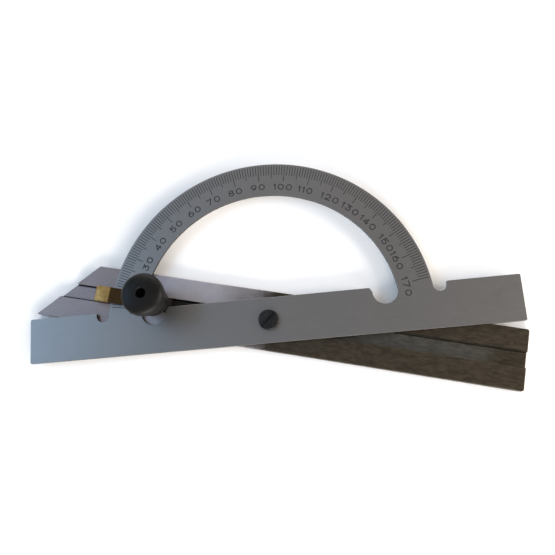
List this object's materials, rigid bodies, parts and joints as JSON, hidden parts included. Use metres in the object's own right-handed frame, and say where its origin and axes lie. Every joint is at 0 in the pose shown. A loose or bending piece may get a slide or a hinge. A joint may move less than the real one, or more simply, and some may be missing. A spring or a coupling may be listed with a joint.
{
  "type": "degree protractor",
  "caption": "Workshop protractor: half-ring degree scale on a straight arm, with a grooved blade behind it that turns, slides lengthwise and is clamped by a round knob.",
  "frame": {"origin": "on the pivot axis, in the plane of the blade's back face", "axes": "+X along the scale plate's straight arm towards the 170 degree end, +Y towards the crown of the half ring, +Z out of the scale's face"},
  "size_m": [0.3007, 0.1538, 0.0382],
  "materials": {
    "scale_steel": "satin ground steel with dark filled graduations",
    "blade_steel": "milled steel with brown patina",
    "slider_steel": "machined",
    "washer_steel": "zinc plated",
    "black_steel": "blackened",
    "brass": "worn, tarnished",
    "black_phenolic": "moulded phenolic, dulled by handling"
  },
  "bodies": {
    "scale": {"scale_plate": "scale_steel"},
    "carrier": {"pivot_slider": "slider_steel", "pivot_washer": "washer_steel", "pivot_screw": "black_steel", "clamp_slider": "slider_steel", "clamp_stud": "washer_steel", "clamp_bridge": "brass"},
    "blade": {"blade": "blade_steel"},
    "knob_foot": {"clamp_washer": "washer_steel"},
    "knob": {"knob": "black_phenolic", "knob_insert": "brass"}
  },
  "joints": [
    {"name": "blade_swing", "type": "hinge", "parent": "scale", "child": "carrier", "pos_m": [0, 0, 0.0063], "axis": [0, 0, -1], "range_deg": [-4, 156]},
    {"name": "blade_slide", "type": "slide", "parent": "carrier", "child": "blade", "axis": [0.9703, -0.2419, 0], "range_m": [-0.13, 0.016]},
    {"name": "knob_lift", "type": "slide", "parent": "carrier", "child": "knob_foot", "axis": [0, 0, 1], "range_m": [0, 0.001]},
    {"name": "knob_turn", "type": "hinge", "parent": "knob_foot", "child": "knob", "pos_m": [-0.06952, 0.01733, 0.0116], "axis": [0, 0, 1], "range_deg": [0, 360]}
  ],
  "couplings": [
    {"joint": "knob_turn", "follows": "knob_lift", "rad_per_m": 6283.2}
  ]
}
